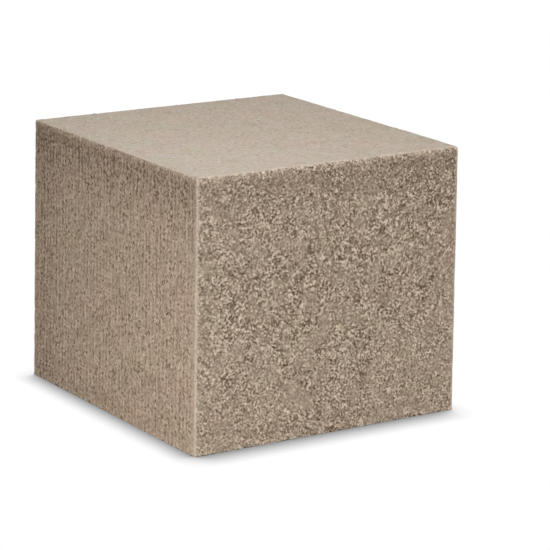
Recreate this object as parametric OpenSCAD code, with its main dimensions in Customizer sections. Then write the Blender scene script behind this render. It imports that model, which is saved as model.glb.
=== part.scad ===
// Dry floral foam block: one piece of rigid open-cell foam, saw-cut square on
// all six sides, with its edges and corners lightly crushed by handling.
// Origin at the centre of the base, +Z up, -Y towards the front.

/* [Block] */
// Width of the front face, along X (mm)
block_w = 100; // [40:1:240]
// Depth from the front face to the back, along Y (mm)
block_d = 104; // [40:1:240]
// Height from the base to the top face, along Z (mm)
block_h = 89; // [40:1:240]

/* [Crushed edges] */
// Radius that handling leaves on the edges and corners (mm)
edge_r = 0.5; // [0.2:0.1:5]

/* [Hidden] */

block_size = [block_w, block_d, block_h];
foam_color = [0.66, 0.58, 0.48];
// Both ends of a side, as the sign of the direction from the block's centre
ENDS = [-1, 1];
// Smooth enough for the widest edge radius
$fn = 48;

// Half of a side, less the edge radius: the line that an edge's centre lies on
function inset(axis) = block_size[axis] / 2 - edge_r;

// Slab that reaches both faces of one axis and stops at the edges of the others
module slab(axis) {
    cube([for (a = [0:2]) block_size[a] - (a == axis ? 0 : 2 * edge_r)], center = true);
}

// Round bars along the four edges that run with Z, or with X or Y once turned
module edge_bars(axis) {
    across = [(axis + 1) % 3, (axis + 2) % 3];
    turn = [[0, 90, 0], [-90, 0, 0], [0, 0, 0]][axis];
    for (u = ENDS, v = ENDS) {
        offsets = [u * inset(across[0]), v * inset(across[1])];
        translate([for (a = [0:2]) a == axis ? 0 : a == across[0] ? offsets[0] : offsets[1]])
            rotate(turn)
                cylinder(r = edge_r, h = 2 * inset(axis), center = true);
    }
}

// Rounded corner points
module corner_balls() {
    for (x = ENDS, y = ENDS, z = ENDS)
        translate([x * inset(0), y * inset(1), z * inset(2)])
            sphere(r = edge_r);
}

// The block itself: flat faces joined by crushed edges and corners
module foam_block() {
    color(foam_color)
        translate([0, 0, block_h / 2])
            union() {
                for (axis = [0:2]) {
                    slab(axis);
                    edge_bars(axis);
                }
                corner_balls();
            }
}

foam_block();
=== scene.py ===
"""Dry floral foam block, cut square from a bun of rigid open-cell foam.

The block is one closed shell. Its front and back are torn by a coarse saw, its two sides carry
upright saw lines, and its top and base are trimmed finer. Lengths are in metres, in the frame's
axes: +Z up, -Y out of the front, the block standing on z = 0.
"""

import math

import bpy
import numpy as np
from mathutils import Matrix, Vector


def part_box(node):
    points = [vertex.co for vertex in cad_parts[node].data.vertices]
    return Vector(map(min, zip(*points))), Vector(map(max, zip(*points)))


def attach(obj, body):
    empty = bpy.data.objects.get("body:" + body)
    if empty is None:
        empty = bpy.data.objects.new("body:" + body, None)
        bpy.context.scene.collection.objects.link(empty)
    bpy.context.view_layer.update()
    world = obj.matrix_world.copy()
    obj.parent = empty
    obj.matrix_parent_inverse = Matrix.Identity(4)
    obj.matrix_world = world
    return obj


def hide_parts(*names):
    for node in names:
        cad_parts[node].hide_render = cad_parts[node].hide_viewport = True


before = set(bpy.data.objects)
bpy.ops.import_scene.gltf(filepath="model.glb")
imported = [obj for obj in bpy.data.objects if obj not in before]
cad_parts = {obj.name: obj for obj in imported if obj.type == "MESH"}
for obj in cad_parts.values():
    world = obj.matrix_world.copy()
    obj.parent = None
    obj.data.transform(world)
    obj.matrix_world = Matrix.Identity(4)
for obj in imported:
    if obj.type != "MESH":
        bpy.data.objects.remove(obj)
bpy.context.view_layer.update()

# ---------------------------------------------------------------------------------------------
# The block: sizes and cut
# ---------------------------------------------------------------------------------------------
MM = 0.001
NODE = "foam_block"
block_low, block_high = (np.array(corner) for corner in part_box(NODE))
block_centre = (block_low + block_high) / 2
block_size = block_high - block_low

EDGE_R = 0.5 * MM             # radius that handling leaves on every edge
BASE_CRISP = 0.85             # share of that rounding which the base's edges keep from wearing off
PITCH = 0.32 * MM   # spacing of the surface grid away from the edges
ARC_STEPS = 3                 # grid steps from an edge's middle to the flat, on each side of it
DUST_REACH = 1.3 * MM         # how far pale dust and calmer grain reach in from an edge
EDGE_CALM = 0.85              # share of the cut's height that is lost on an edge
KNOCK_REACH = 1.5 * MM        # how far knocks reach in from an edge

# The saws ran a little out of square: the block is wider and deeper at its base than at its top
BASE_SPREAD_X = 0.010
BASE_SPREAD_Y = 0.018

# Axis of a side's normal, in the order X, Y, Z
SIDES, FRONT_BACK, TOP_BASE = 0, 1, 2


# ---------------------------------------------------------------------------------------------
# Noise sheets: periodic height maps, looked up in millimetres
# ---------------------------------------------------------------------------------------------
SHEET_N = 640                 # samples along a sheet's side
SHEET_MM = 128.0              # length of a sheet's side, more than any side of the block
SIDE_MM, BACK_MM, TOP_MM = block_size / 2 / MM   # the faces' distances (mm) from the block's centre
SAW_PITCH_MM = 2.1            # from one saw line to the next
RIM_MM = 3.5                  # breadth of the pale rim under the top, and of the pale rim over the base that is painted light


def grain_sheet(rng, shortest, longest, stretch=(1.0, 1.0), falloff=2.0, ground=0.0):
    """A periodic sheet of noise with a mean of 0 and a deviation of 1.

    White noise is taken to its frequencies f (per mm). Each is kept by the product of three parts:
    1 / (1 + (f * longest)^2) to the power falloff / 2, which fades waves shorter than longest (mm);
    1 / (1 + (f * shortest)^8), which ends them; and, where ground is given,
    (f * ground)^2 / (1 + (f * ground)^2), which fades waves longer than ground.
    stretch lengthens the grain along the sheet's first and second direction.
    """
    white = np.fft.fft2(rng.standard_normal((SHEET_N, SHEET_N)))
    cycles = np.fft.fftfreq(SHEET_N, SHEET_MM / SHEET_N)
    along, across = np.meshgrid(cycles * stretch[0], cycles * stretch[1])
    frequency = np.hypot(along, across)
    body = (1 + (frequency * longest) ** 2) ** (-falloff / 2) / (1 + (frequency * shortest) ** 8)
    if ground:
        body *= (frequency * ground) ** 2 / (1 + (frequency * ground) ** 2)
    kept = np.real(np.fft.ifft2(white * body))
    return (kept - kept.mean()) / kept.std()


def dot_sheet(rng, size):
    """A sheet of separate round dots about size (mm) across: grain that is left of a narrow band.

    The band is the grain up to size less the same grain smoothed to twice that size.
    """
    seed = rng.integers(1 << 30)
    sharp = grain_sheet(np.random.default_rng(seed), size * 1.4, 0.1)
    smooth = grain_sheet(np.random.default_rng(seed), size * 3.0, 0.1)
    dots = sharp - smooth * (sharp * smooth).mean()
    return dots / dots.std()


def line_sheet(rng, pitch, drift):
    """Upright lines that repeat every pitch (mm) along the sheet's first direction.

    The height is the cosine of the place's phase, and the phase wanders by drift turns with a
    slow noise, so that the lines waver as a worn blade leaves them.
    """
    place = (np.arange(SHEET_N) + 0.5) * SHEET_MM / SHEET_N
    turns = round(SHEET_MM / pitch) * place[None, :] / SHEET_MM
    wander = grain_sheet(rng, 20.0, 30.0, stretch=(1.0, 2.5)) * drift
    return np.cos(2 * math.pi * (turns + wander))


def look_up(sheet, u, v):
    """A sheet's height at the places u, v (mm): the four samples round each, weighed by nearness."""
    x, y = (np.mod(t / SHEET_MM, 1.0) * SHEET_N for t in (u, v))
    column, row = np.floor(x).astype(int), np.floor(y).astype(int)
    fx, fy = x - column, y - row
    column, row = column % SHEET_N, row % SHEET_N
    right, above = (column + 1) % SHEET_N, (row + 1) % SHEET_N
    return ((sheet[row, column] * (1 - fx) + sheet[row, right] * fx) * (1 - fy)
            + (sheet[above, column] * (1 - fx) + sheet[above, right] * fx) * fy)


def smooth_step(low, high, value):
    """0 below low, 1 above high, and an S-shaped cubic between them."""
    t = np.clip((value - low) / (high - low), 0, 1)
    return t * t * (3 - 2 * t)


def torn_side(rng, u, v):
    """Heights (mm) and tones at the places u, v (mm) of a side that a coarse saw tore.

    Tone is torn strands with single cells and a few pale crumbs over them. The strands lie across
    in some patches and upright in others, and are bent by a slow noise. Height follows the tone,
    and the darkest parts drop away further as open pits, whose dark is partly painted shade. The
    saw pressed more than it tore beside the upright edges and under the top, so the grain is
    calmer there. Painted shade darkens the side under the top, most at the right, up to a pale rim
    of crushed cells; a fainter pale rim at the base is painted light that lifts the shade where the
    side meets the floor.
    """
    bend = [0.9 * look_up(grain_sheet(rng, 2.2, 4.0), u, v) for _ in range(2)]
    bent = u + bend[0], v + bend[1]
    across = look_up(grain_sheet(rng, 0.64, 1.1, stretch=(2.8, 1.0), ground=3.0), *bent)
    upright = look_up(grain_sheet(rng, 0.64, 1.1, stretch=(1.0, 2.8), ground=3.0), *bent)
    way = smooth_step(-0.9, 0.7, look_up(grain_sheet(rng, 4.0, 8.0), u, v))
    strands = (across * way + upright * (1 - way)) / np.hypot(way, 1 - way)
    cells = look_up(dot_sheet(rng, 0.6), u, v)
    crumbs = smooth_step(1.4, 2.6, look_up(dot_sheet(rng, 0.65), u, v))
    rough = 1 + 0.34 * look_up(grain_sheet(rng, 3.5, 7.0), u, v)
    tone = (0.74 * strands + 0.55 * cells) * rough + 1.4 * crumbs
    pits = smooth_step(-1.5, -3.2, tone)
    calm = smooth_step(13, 0, np.minimum(SIDE_MM - np.abs(u), TOP_MM - v))
    height = (0.08 * strands + 0.05 * cells) * rough * (1 - 0.4 * calm) + 0.10 * crumbs - 0.20 * pits
    # pale rim of crushed cells under the top; the fainter rim at the base is painted light over the shade
    # by the floor
    rim = np.where(v > 0, 0.95, 0.35) * smooth_step(RIM_MM, 0.3, TOP_MM - np.abs(v))
    # painted shade under the top, darkest at the right
    painted_shade_under_top = (0.42 + 0.36 * smooth_step(-SIDE_MM, SIDE_MM, u)) * smooth_step(18, 0, TOP_MM - v)
    return height, tone * (1 - 0.46 * calm) + rim - painted_shade_under_top


def sawn_side(rng, u, v):
    """Heights (mm) and tones at the places u, v (mm) of a side with upright saw lines.

    Lines of one pitch and streaks of many widths run upright; a rounder grain lies over them, and
    small dark pits open in it, half as tall again as they are wide, more of them in the lines'
    grooves; the pits' dark is partly painted shade. Painted shade darkens the side near the top
    and at the back, where more pits open too. The side is calmer beside its upright edges and
    under the top, and pale in a narrow rim at the top and the base; the pale rim at the base is
    painted light that lifts the shade where the side meets the floor.
    """
    lines = look_up(line_sheet(rng, SAW_PITCH_MM, 0.06), u, v)
    streaks = look_up(grain_sheet(rng, 0.8, 1.5, stretch=(1.0, 7.0), ground=4.0), u, v)
    grain = look_up(grain_sheet(rng, 0.75, 1.2, stretch=(1.0, 1.4), ground=5.0), u, v)
    dots = look_up(dot_sheet(rng, 0.65), u, v / 1.5)
    # painted shade: the side darker near the top and at the back; more pits open there too
    painted_shade_and_pits = 1.3 * smooth_step(22, 0, TOP_MM - v) + 0.8 * smooth_step(26, 0, BACK_MM - u)
    # pale rim at the top; at the base the pale rim is painted light over the shade by the floor
    rim = smooth_step(RIM_MM, 0.3, TOP_MM - np.abs(v))
    calm = smooth_step(6.5, 0.5, np.minimum(BACK_MM - np.abs(u), TOP_MM - v))
    pits = smooth_step(0.9, 2.2, dots - 0.36 * lines + 0.2 * streaks + 0.15 * painted_shade_and_pits)
    tone = 0.36 * lines + 0.42 * streaks + 0.44 * grain - 2.75 * pits
    height = 0.024 * lines + 0.020 * streaks + 0.035 * grain - 0.32 * pits
    return height * (1 - 0.6 * calm), tone * (1 - 0.55 * calm) + 0.65 * rim - 0.72 * painted_shade_and_pits


def trimmed_side(rng, u, v):
    """Heights (mm) and tones at the places u, v (mm) of a finely trimmed side.

    Low soft grain on slow blotches, with a few dark specks and pale crumbs. A painted highlight
    makes the side paler and greyer towards the front left, and painted shade darker away from it.
    """
    soft = look_up(grain_sheet(rng, 0.8, 4.0, falloff=1.0), u, v)
    slow = look_up(grain_sheet(rng, 3.0, 9.0), u, v)
    dots = look_up(dot_sheet(rng, 1.4), u, v)
    specks = smooth_step(1.9, 2.7, dots)
    crumbs = smooth_step(1.9, 2.7, -dots)
    # painted highlight and shade: paler towards the front left corner, darker away from it
    painted_highlight_and_shade = 0.9 - 1.5 * smooth_step(0, 110, np.hypot(u + SIDE_MM, v + BACK_MM))
    tone = 0.45 * soft + 0.3 * slow - 4.5 * specks + 4.5 * crumbs + painted_highlight_and_shade
    return 0.005 * soft - 0.12 * specks + 0.20 * crumbs, tone


# ---------------------------------------------------------------------------------------------
# The block's surface
# ---------------------------------------------------------------------------------------------
def grid_lines(length):
    """Places of the grid lines along one axis, from -length/2 to length/2.

    Even steps of about PITCH across the flat; in each edge's radius, steps of one angle as seen
    from the edge's centre line.
    """
    flat = length / 2 - EDGE_R
    across = np.linspace(-flat, flat, max(2, round(2 * flat / PITCH) + 1))
    arc = flat + EDGE_R * np.tan(np.arange(1, ARC_STEPS + 1) * (math.pi / 4) / ARC_STEPS)
    return np.concatenate([-arc[::-1], across, arc])


def side_lattice(axis, outward, counts):
    """Lattice places (rows, columns, 3) of one side, with columns and rows along the next two axes.

    For a side that faces down its axis the columns run backwards, so that its normal points out.
    """
    u, v = (axis + 1) % 3, (axis + 2) % 3
    lattice = np.zeros((counts[v], counts[u], 3), int)
    lattice[..., u] = np.arange(counts[u])[None, :]
    lattice[..., v] = np.arange(counts[v])[:, None]
    lattice[..., axis] = counts[axis] - 1 if outward > 0 else 0
    return lattice if outward > 0 else lattice[:, ::-1]


def rounded_block():
    """The block with smooth rounded edges: sharp places, rounded places, normals and quads.

    Six grids over a sharp box share their edge points. Each point is taken back to the box
    shrunk by the edge radius, and out again by that radius along the line it came by.
    """
    lines = [grid_lines(length) for length in block_size]
    counts = [len(line) for line in lines]
    sides = [side_lattice(axis, outward, counts) for axis in range(3) for outward in (-1, 1)]
    keys = [np.ravel_multi_index(np.moveaxis(side, -1, 0), counts) for side in sides]
    points, numbers = np.unique(np.concatenate([key.ravel() for key in keys]), return_inverse=True)
    ends = np.cumsum([key.size for key in keys])[:-1]
    quads = []
    for key, ids in zip(keys, np.split(numbers, ends)):
        grid = ids.reshape(key.shape)
        corners = (grid[:-1, :-1], grid[:-1, 1:], grid[1:, 1:], grid[1:, :-1])
        quads.append(np.stack(corners, axis=-1).reshape(-1, 4))
    lattice = np.stack(np.unravel_index(points, counts), axis=-1)
    sharp = np.stack([lines[axis][lattice[:, axis]] for axis in range(3)], axis=-1)
    inner = np.clip(sharp, EDGE_R - block_size / 2, block_size / 2 - EDGE_R)
    normal = sharp - inner
    normal /= np.linalg.norm(normal, axis=1, keepdims=True)
    return sharp, inner + normal * EDGE_R, normal, np.concatenate(quads)


def face_axes(axis):
    """The axes that a side's u and v run along: v is up, except on the top and the base."""
    return {SIDES: (1, 2), FRONT_BACK: (0, 2), TOP_BASE: (0, 1)}[axis]


def cut_surface(sharp, normal):
    """Height (m) along the normal and tone at every point, from the sides' own noise sheets.

    A point takes from the sides that its normal leans to, in the ratio of the leans to the sixth
    power, so each side keeps its own cut and the edges mix two of them.
    """
    makers = {SIDES: sawn_side, FRONT_BACK: torn_side, TOP_BASE: trimmed_side}
    height, tone, total = (np.zeros(len(sharp)) for _ in range(3))
    for axis, maker in makers.items():
        u_axis, v_axis = face_axes(axis)
        for outward in (-1, 1):
            lean = np.clip(normal[:, axis] * outward, 0, 1) ** 6
            near = lean > 1e-4
            rng = np.random.default_rng(41 + 10 * axis + outward)
            heights, tones = maker(rng, sharp[near, u_axis] / MM, sharp[near, v_axis] / MM)
            height[near] += lean[near] * heights
            tone[near] += lean[near] * tones
            total += np.where(near, lean, 0)
    return height / total * MM, tone / total


def edge_nearness(sharp, reach, base=True):
    """1 on an edge, fading to 0 at reach (m) from it: the distance to the nearest other side.

    Without base, the base's own edges are left out, and the top's edges reach a fifth as far down
    the sides.
    """
    inside = block_size / 2 - np.abs(sharp)
    if not base:
        inside[:, 2] = 5 * (block_size[2] / 2 - sharp[:, 2])
    return 1 - smooth_step(0.15 * reach, reach, np.sort(inside, axis=1)[:, 1])


def crushed_edges(sharp):
    """How far (m) each point near an edge is pressed in, uneven along the edge.

    The top's edges are worn rounder than the others: there a press is added that fades with the
    distance to the top on the sides, and with the distance to the sides on the top.
    """
    rng = np.random.default_rng(7)
    along = (sharp / MM) @ np.array([1.0, 0.61, 0.37])
    beside = (sharp / MM) @ np.array([-0.43, 0.83, 1.19])
    knocks = look_up(grain_sheet(rng, 3.0, 9.0), along, beside)
    chips = look_up(dot_sheet(rng, 1.3), along, beside)
    press = np.clip(0.03 + 0.03 * knocks, 0, 1) + 0.12 * smooth_step(0.8, 2.4, chips)
    inside = block_size / 2 - np.abs(sharp)
    from_top = np.maximum(block_size[2] / 2 - sharp[:, 2], np.minimum(inside[:, 0], inside[:, 1]))
    worn = (1 - smooth_step(0.15, 1.1, from_top / MM)) * np.clip(0.24 + 0.07 * knocks, 0, 1)
    return (edge_nearness(sharp, KNOCK_REACH) * press + worn) * MM


def out_of_square(points):
    """The points spread from the block's upright axis in step with their depth below its middle."""
    below = 0.5 - (points[:, 2:] + block_size[2] / 2) / block_size[2]
    spread = np.array([BASE_SPREAD_X, BASE_SPREAD_Y, 0.0])
    return points * (1 + below * spread)


def unfolded(sharp, quads):
    """A flat map of the six sides in two columns and three rows, stretched to fill the unit square.

    Each corner of a quad takes its place on the side that the quad belongs to, which is the one
    whose axis the quad is thinnest along and far out on.
    """
    gap = 0.004
    corner = sharp[quads]
    near_middle = np.abs(corner.mean(1)) < 0.4 * block_size
    flat_axis = np.argmin(np.ptp(corner, axis=1) + 1e3 * near_middle, axis=1)
    facing = np.take_along_axis(corner.mean(1), flat_axis[:, None], 1)[:, 0] > 0
    share = corner / block_size + 0.5
    uv = np.zeros((len(quads), 4, 2))
    for axis in range(3):
        u_axis, v_axis = face_axes(axis)
        here = flat_axis == axis
        column = facing[here].astype(float)[:, None]
        uv[here, :, 0] = (column + gap + share[here][..., u_axis] * (1 - 2 * gap)) / 2
        uv[here, :, 1] = (axis + gap + share[here][..., v_axis] * (1 - 2 * gap)) / 3
    return uv, flat_axis


def foam_shell():
    """The finished block: a rounded box, pushed along its normals by the cut, pressed in at its
    edges and spread towards its base, with a flat base and the cut's tone kept at every point."""
    sharp, smooth, normal, quads = rounded_block()
    smooth += (sharp - smooth) * (BASE_CRISP * (normal[:, 2:] < 0))
    height, tone = cut_surface(sharp, normal)
    nearness = edge_nearness(sharp, DUST_REACH, base=False)
    points = smooth + normal * (height * (1 - EDGE_CALM * nearness) - crushed_edges(sharp))[:, None]
    points = out_of_square(points) + block_centre
    points[:, 2] = np.maximum(points[:, 2], block_low[2])
    mesh = bpy.data.meshes.new("foam")
    mesh.from_pydata(points, [], quads)
    mesh.polygons.foreach_set("use_smooth", np.ones(len(quads), bool))
    for name, values in (("tone", tone), ("edge", nearness)):
        attribute = mesh.attributes.new(name, "FLOAT", "POINT")
        attribute.data.foreach_set("value", values.astype(np.float32))
    uv, side = unfolded(sharp, quads)
    mesh.uv_layers.new(name="OFBake").data.foreach_set("uv", uv.astype(np.float32).ravel())
    mesh.polygons.foreach_set("material_index", side.astype(np.int32))
    mesh.update()
    return mesh


# ---------------------------------------------------------------------------------------------
# Materials
# ---------------------------------------------------------------------------------------------
def add_node(tree, kind, **values):
    """A new node of that kind, with its settings and its inputs' values."""
    node = tree.nodes.new(kind)
    for name, value in values.items():
        if hasattr(node, name):
            setattr(node, name, value)
        else:
            node.inputs[name.replace("_", " ")].default_value = value
    return node


def start_group(name, inputs, outputs):
    """An empty node group with named inputs (name, kind, value) and outputs (name, kind)."""
    tree = bpy.data.node_groups.new(name, "ShaderNodeTree")
    for label, kind, value in inputs:
        socket = tree.interface.new_socket(label, in_out="INPUT", socket_type=kind)
        socket.default_value = value
    for label, kind in outputs:
        tree.interface.new_socket(label, in_out="OUTPUT", socket_type=kind)
    return tree, tree.nodes.new("NodeGroupInput"), tree.nodes.new("NodeGroupOutput")


def math_node(tree, operation, first, second=None, third=None):
    """The output of a Math node; each operand is a socket or a number."""
    node = tree.nodes.new("ShaderNodeMath")
    node.operation = operation
    for socket, operand in zip(node.inputs, (first, second, third)):
        if isinstance(operand, bpy.types.NodeSocket):
            tree.links.new(operand, socket)
        elif operand is not None:
            socket.default_value = operand
    return node.outputs[0]


def color_mix(tree, factor, first, second, blend="MIX"):
    """The color output of a Mix node; factor and both colors are sockets or plain values."""
    node = tree.nodes.new("ShaderNodeMix")
    node.data_type = "RGBA"
    node.blend_type = blend
    for index, operand in ((0, factor), (6, first), (7, second)):
        if isinstance(operand, bpy.types.NodeSocket):
            tree.links.new(operand, node.inputs[index])
        else:
            node.inputs[index].default_value = operand
    return node.outputs[2]


def cell_grain_group():
    """Color and fine relief of cut foam from the cut's tone: dark open cells, mid foam, pale
    torn walls, broken up by single cells finer than the surface grid, stronger in some patches."""
    tree, given, result = start_group("Cell grain", [
        ("Tone", "NodeSocketFloat", 0.0),
        ("Contrast", "NodeSocketFloat", 0.2),
        ("Speckle", "NodeSocketFloat", 3.5),
        ("Pit and shade color", "NodeSocketColor", (0.2, 0.15, 0.1, 1)),
        ("Foam color", "NodeSocketColor", (0.4, 0.32, 0.24, 1)),
        ("Wall color", "NodeSocketColor", (0.6, 0.5, 0.4, 1)),
    ], [("Color", "NodeSocketColor"), ("Height", "NodeSocketFloat")])
    place = add_node(tree, "ShaderNodeTexCoord").outputs["Object"]
    fine = add_node(tree, "ShaderNodeTexNoise", Scale=1300.0, Detail=2.0, Roughness=0.6)
    cells = add_node(tree, "ShaderNodeTexVoronoi", feature="F1", Scale=1500.0)
    tree.links.new(place, fine.inputs["Vector"])
    tree.links.new(place, cells.inputs["Vector"])
    own = math_node(tree, "SUBTRACT", cells.outputs["Color"], 0.5)
    speckle = math_node(tree, "SUBTRACT", fine.outputs["Fac"], 0.5)
    speckle = math_node(tree, "MULTIPLY_ADD", own, 0.35, speckle)
    patches = add_node(tree, "ShaderNodeTexNoise", Scale=180.0, Detail=1.0)
    tree.links.new(place, patches.inputs["Vector"])
    strength = math_node(tree, "MULTIPLY_ADD", patches.outputs["Fac"], 2.6, -0.3)
    strength = math_node(tree, "MULTIPLY", strength, given.outputs["Speckle"])
    mixed = math_node(tree, "MULTIPLY_ADD", speckle, strength, given.outputs["Tone"])
    spread = math_node(tree, "MULTIPLY", mixed, given.outputs["Contrast"])
    dark = math_node(tree, "MULTIPLY", spread, -1.0)
    dark = math_node(tree, "MINIMUM", math_node(tree, "MAXIMUM", dark, 0.0), 1.0)
    pale = math_node(tree, "MINIMUM", math_node(tree, "MAXIMUM", spread, 0.0), 1.0)
    # the pit colour is partly the open cells' own dark and partly painted shade in the pits
    color = color_mix(tree, dark, given.outputs["Foam color"], given.outputs["Pit and shade color"])
    color = color_mix(tree, pale, color, given.outputs["Wall color"])
    height = math_node(tree, "MULTIPLY_ADD", cells.outputs["Distance"], 0.6, fine.outputs["Fac"])
    tree.links.new(color, result.inputs["Color"])
    tree.links.new(height, result.inputs["Height"])
    return tree


def tone_drift_group():
    """Slow warm and olive blotches, as a multiplier near white, over several centimetres."""
    tree, given, result = start_group("Tone drift", [
        ("Amount", "NodeSocketFloat", 0.3),
    ], [("Color", "NodeSocketColor")])
    place = add_node(tree, "ShaderNodeTexCoord").outputs["Object"]
    broad = add_node(tree, "ShaderNodeTexNoise", Scale=75.0, Detail=3.0, Roughness=0.6)
    ramp = tree.nodes.new("ShaderNodeValToRGB")
    ramp.color_ramp.elements[0].position = 0.30
    ramp.color_ramp.elements[0].color = (0.965, 1.01, 0.935, 1)
    ramp.color_ramp.elements[1].position = 0.70
    ramp.color_ramp.elements[1].color = (1.045, 0.985, 0.98, 1)
    middle = ramp.color_ramp.elements.new(0.5)
    middle.color = (1, 1, 1, 1)
    tree.links.new(place, broad.inputs["Vector"])
    tree.links.new(broad.outputs["Fac"], ramp.inputs["Fac"])
    color = color_mix(tree, given.outputs["Amount"], (1, 1, 1, 1), ramp.outputs["Color"])
    tree.links.new(color, result.inputs["Color"])
    return tree


def crushed_edge_group():
    """How much pale dust of crushed cell walls lies on an edge: the edge attribute, broken up
    along the edge by noise."""
    tree, given, result = start_group("Crushed edge", [
        ("Edge", "NodeSocketFloat", 0.0),
        ("Amount", "NodeSocketFloat", 0.8),
    ], [("Mask", "NodeSocketFloat")])
    place = add_node(tree, "ShaderNodeTexCoord").outputs["Object"]
    patches = add_node(tree, "ShaderNodeTexNoise", Scale=560.0, Detail=4.0, Roughness=0.65)
    tree.links.new(place, patches.inputs["Vector"])
    broken = math_node(tree, "MULTIPLY_ADD", patches.outputs["Fac"], 3.0, -0.5)
    mask = math_node(tree, "MULTIPLY", given.outputs["Edge"], broken)
    mask = math_node(tree, "MULTIPLY", mask, given.outputs["Amount"])
    mask = math_node(tree, "MINIMUM", mask, 1.0)
    tree.links.new(mask, result.inputs["Mask"])
    return tree


def foam_material(name, groups, pit_and_shade, foam, wall, dust, contrast, speckle, drift, edge, relief):
    """Dry matte foam of one cut: grain, drift and edge dust in color, fine cells as relief."""
    grain_tree, drift_tree, edge_tree = groups
    material = bpy.data.materials.new(name)
    material.use_nodes = True
    tree = material.node_tree
    shader = tree.nodes["Principled BSDF"]
    shader.inputs["Roughness"].default_value = 0.95
    shader.inputs["Specular IOR Level"].default_value = 0.18
    shader.inputs["Sheen Weight"].default_value = 0.12
    shader.inputs["Sheen Roughness"].default_value = 0.6
    tone = add_node(tree, "ShaderNodeAttribute", attribute_name="tone")
    edge_near = add_node(tree, "ShaderNodeAttribute", attribute_name="edge")
    grain = add_node(tree, "ShaderNodeGroup", node_tree=grain_tree)
    grain.inputs["Contrast"].default_value = contrast
    grain.inputs["Speckle"].default_value = speckle
    for label, color in (("Pit and shade color", pit_and_shade), ("Foam color", foam), ("Wall color", wall)):
        grain.inputs[label].default_value = (*color, 1)
    tree.links.new(tone.outputs["Fac"], grain.inputs["Tone"])
    blotches = add_node(tree, "ShaderNodeGroup", node_tree=drift_tree)
    blotches.inputs["Amount"].default_value = drift
    crushed = add_node(tree, "ShaderNodeGroup", node_tree=edge_tree)
    crushed.inputs["Amount"].default_value = edge
    tree.links.new(edge_near.outputs["Fac"], crushed.inputs["Edge"])
    color = color_mix(tree, 1.0, grain.outputs["Color"], blotches.outputs["Color"], "MULTIPLY")
    color = color_mix(tree, crushed.outputs["Mask"], color, (*dust, 1))
    tree.links.new(color, shader.inputs["Base Color"])
    bump = add_node(tree, "ShaderNodeBump", Strength=relief, Distance=0.12 * MM)
    tree.links.new(grain.outputs["Height"], bump.inputs["Height"])
    tree.links.new(bump.outputs["Normal"], shader.inputs["Normal"])
    return material


def foam_materials():
    """The sawn sides, the torn front and back, and the trimmed top and base, in that order."""
    groups = cell_grain_group(), tone_drift_group(), crushed_edge_group()
    sawn = foam_material(
        "foam_sawn", groups, pit_and_shade=(0.125, 0.075, 0.041), foam=(0.406, 0.304, 0.219),
        wall=(0.64, 0.51, 0.39), dust=(0.56, 0.475, 0.38), contrast=0.36, speckle=6.8, drift=0.8,
        edge=0.75, relief=0.6)
    torn = foam_material(
        "foam_torn", groups, pit_and_shade=(0.13, 0.085, 0.051), foam=(0.366, 0.281, 0.207),
        wall=(0.725, 0.605, 0.475), dust=(0.56, 0.475, 0.38), contrast=0.40, speckle=8.5, drift=0.5,
        edge=0.75, relief=0.8)
    # the trimmed top's pale colour is tinted grey-blue partly as a painted sheen; the painted highlight
    # brings it out near the front left
    trimmed = foam_material(
        "foam_trimmed", groups, pit_and_shade=(0.26, 0.195, 0.13), foam=(0.390, 0.326, 0.260),
        wall=(0.460, 0.424, 0.397), dust=(0.56, 0.49, 0.41), contrast=0.19, speckle=10.5, drift=1.0,
        edge=0.5, relief=0.3)
    return sawn, torn, trimmed


# ---------------------------------------------------------------------------------------------
# The stage: floor, light and camera
# ---------------------------------------------------------------------------------------------
PURE_WHITE = 1.01             # level that the camera sees as pure white
SHADE_FRONT = 12.5 * MM       # reach of the contact shade before the block and behind it
SHADE_SIDE = 9.2 * MM         # and its reach beside the block
SHADE_LEAN = (0.476, 0.543, 1.0)   # way to the bright part of the sky, over the right and the back
SHADE_DEPTH = 1.35            # depth of the shade where the sky is closed
SHADE_POWER = 1.38            # how fast it falls off as the sky opens

AIM_MM = (9.03, -6.78, -3.62)      # place that the camera looks at, from the block's centre (mm)
CAMERA_TURN = (-33.61, 14.57)      # its azimuth and elevation (degrees)
CAMERA_DISTANCE = 0.9132           # from the aim (m)
CAMERA_ROLL = 1.052                # degrees
FOCAL_LENGTH = 179.33              # mm, on a sensor 36 mm wide


def plain_floor():
    """A wide white floor at the block's base."""
    reach = 3.0
    mesh = bpy.data.meshes.new("floor")
    mesh.from_pydata([(-reach, -reach, 0), (reach, -reach, 0), (reach, reach, 0), (-reach, reach, 0)],
                     [], [(0, 1, 2, 3)])
    floor = bpy.data.objects.new("floor", mesh)
    bpy.context.scene.collection.objects.link(floor)
    mesh.materials.append(floor_material())


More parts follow.
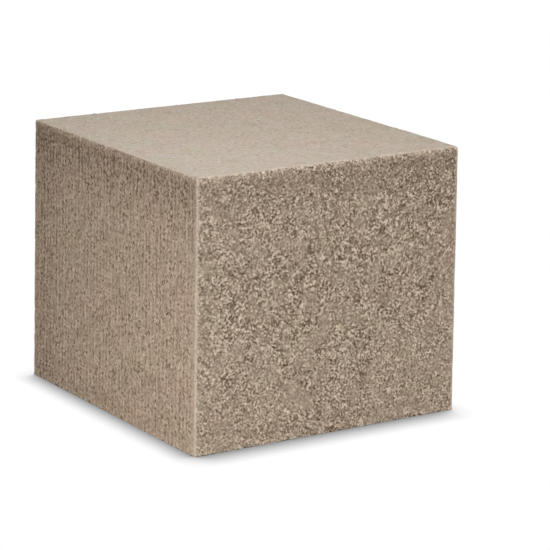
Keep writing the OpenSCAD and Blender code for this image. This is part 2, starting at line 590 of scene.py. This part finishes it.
def floor_material():
    """White board that lights the block as matte white, and that the camera sees as pure white
    but for a narrow contact shade.

    Closed is how much of the sky, weighed by nearness to SHADE_LEAN, is taken over a point by
    anything within reach, and the camera's share glows by
    PURE_WHITE - SHADE_DEPTH * closed^SHADE_POWER. The reach is SHADE_FRONT before the block and
    behind it and SHADE_SIDE beside it, and turns from one to the other round its corners.
    """
    material = bpy.data.materials.new("floor_white")
    material.use_nodes = True
    tree = material.node_tree
    shader = tree.nodes["Principled BSDF"]
    shader.inputs["Base Color"].default_value = (0.92, 0.92, 0.92, 1)
    shader.inputs["Roughness"].default_value = 0.9
    shader.inputs["Specular IOR Level"].default_value = 0.0
    place = tree.nodes.new("ShaderNodeSeparateXYZ")
    tree.links.new(add_node(tree, "ShaderNodeTexCoord").outputs["Object"], place.inputs["Vector"])
    out = [math_node(tree, "ABSOLUTE", place.outputs[axis]) for axis in (0, 1)]
    beside = math_node(tree, "SUBTRACT", out[0], block_size[0] / 2)
    before = math_node(tree, "SUBTRACT", out[1], block_size[1] / 2)
    front_share = math_node(tree, "SUBTRACT", before, beside)
    front_share = math_node(tree, "MULTIPLY_ADD", front_share, 1 / (20 * MM), 0.5)
    front_share = math_node(tree, "MINIMUM", math_node(tree, "MAXIMUM", front_share, 0), 1)
    reach = math_node(tree, "MULTIPLY_ADD", front_share, SHADE_FRONT - SHADE_SIDE, SHADE_SIDE)
    openness = add_node(tree, "ShaderNodeAmbientOcclusion", samples=12)
    tree.links.new(reach, openness.inputs["Distance"])
    lean_x, lean_y, lean_z = Vector(SHADE_LEAN).normalized()
    lean = add_node(tree, "ShaderNodeCombineXYZ", X=lean_x, Y=lean_y, Z=lean_z)
    tree.links.new(lean.outputs["Vector"], openness.inputs["Normal"])
    closed = math_node(tree, "SUBTRACT", 1.0, openness.outputs["AO"])
    shade = math_node(tree, "MULTIPLY", math_node(tree, "POWER", closed, SHADE_POWER), SHADE_DEPTH)
    glow = tree.nodes.new("ShaderNodeEmission")
    tree.links.new(math_node(tree, "SUBTRACT", PURE_WHITE, shade), glow.inputs["Strength"])
    ray = tree.nodes.new("ShaderNodeLightPath")
    choice = tree.nodes.new("ShaderNodeMixShader")
    tree.links.new(ray.outputs["Is Camera Ray"], choice.inputs["Fac"])
    tree.links.new(shader.outputs["BSDF"], choice.inputs[1])
    tree.links.new(glow.outputs["Emission"], choice.inputs[2])
    tree.links.new(choice.outputs["Shader"], tree.nodes["Material Output"].inputs["Surface"])
    return material


def seen_from(azimuth, elevation):
    """Unit vector from the block towards a viewer: azimuth 0 is at the front, 90 at the right."""
    turn, rise = math.radians(azimuth), math.radians(elevation)
    return Vector((math.sin(turn) * math.cos(rise), -math.cos(turn) * math.cos(rise), math.sin(rise)))


def soft_light(name, azimuth, elevation, distance, size, power):
    """A square soft light at a distance (m) from the block's centre, aimed at it."""
    data = bpy.data.lights.new(name, "AREA")
    data.shape = "SQUARE"
    data.size = size
    data.energy = power
    out = seen_from(azimuth, elevation)
    light = bpy.data.objects.new(name, data)
    light.location = Vector(block_centre) + out * distance
    light.rotation_euler = (-out).to_track_quat("-Z", "Y").to_euler()
    bpy.context.scene.collection.objects.link(light)


def white_surround(strength):
    """An even surround that the camera sees as pure white."""
    world = bpy.data.worlds.new("surround")
    world.use_nodes = True
    tree = world.node_tree
    ray = tree.nodes.new("ShaderNodeLightPath")
    level = math_node(tree, "MULTIPLY_ADD", ray.outputs["Is Camera Ray"], PURE_WHITE - strength, strength)
    tree.links.new(level, tree.nodes["Background"].inputs["Strength"])
    tree.nodes["Background"].inputs["Color"].default_value = (1, 1, 1, 1)
    bpy.context.scene.world = world


def studio_light():
    """A soft light close overhead and a weak one over the front left corner, two low ones that
    rake the left side and the front, wide fills for the front, the right and the back, and an
    even surround.

    Each light's values are its azimuth and elevation (degrees), distance (m), side (m) and power.
    """
    white_surround(0.2)
    soft_light("overhead", -35, 80, 0.40, 0.15, 1.08)
    soft_light("corner", -30, 60, 0.25, 0.08, 0.078)
    soft_light("left_low", -66, -8, 0.22, 0.06, 0.138)
    soft_light("front_low", -20, 0, 0.35, 0.12, 0.062)
    soft_light("front_fill", 15, 12, 0.90, 0.50, 1.80)
    soft_light("right_fill", 105, 12, 0.90, 0.50, 2.0)
    soft_light("back_fill", 175, 12, 0.90, 0.50, 1.6)


def camera():
    """A long lens looking down on the front left corner, rolled a degree as if held by hand."""
    aim = Vector(block_centre) + Vector(AIM_MM) * MM
    back = seen_from(*CAMERA_TURN)
    data = bpy.data.cameras.new("camera")
    data.sensor_width = 36.0
    data.lens = FOCAL_LENGTH
    data.clip_start, data.clip_end = 0.05, 20.0
    eye = bpy.data.objects.new("camera", data)
    turn = (-back).to_track_quat("-Z", "Y").to_matrix().to_4x4()
    roll = Matrix.Rotation(math.radians(CAMERA_ROLL), 4, "Z")
    eye.matrix_world = Matrix.Translation(aim + back * CAMERA_DISTANCE) @ turn @ roll
    bpy.context.scene.collection.objects.link(eye)
    bpy.context.scene.camera = eye


# ---------------------------------------------------------------------------------------------
# Putting it together
# ---------------------------------------------------------------------------------------------
foam = bpy.data.objects.new("foam_block_cut", foam_shell())
bpy.context.scene.collection.objects.link(foam)
for finish in foam_materials():
    foam.data.materials.append(finish)
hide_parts(NODE)
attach(foam, "root")

plain_floor()
studio_light()
camera()
bpy.context.scene.view_settings.view_transform = "Standard"
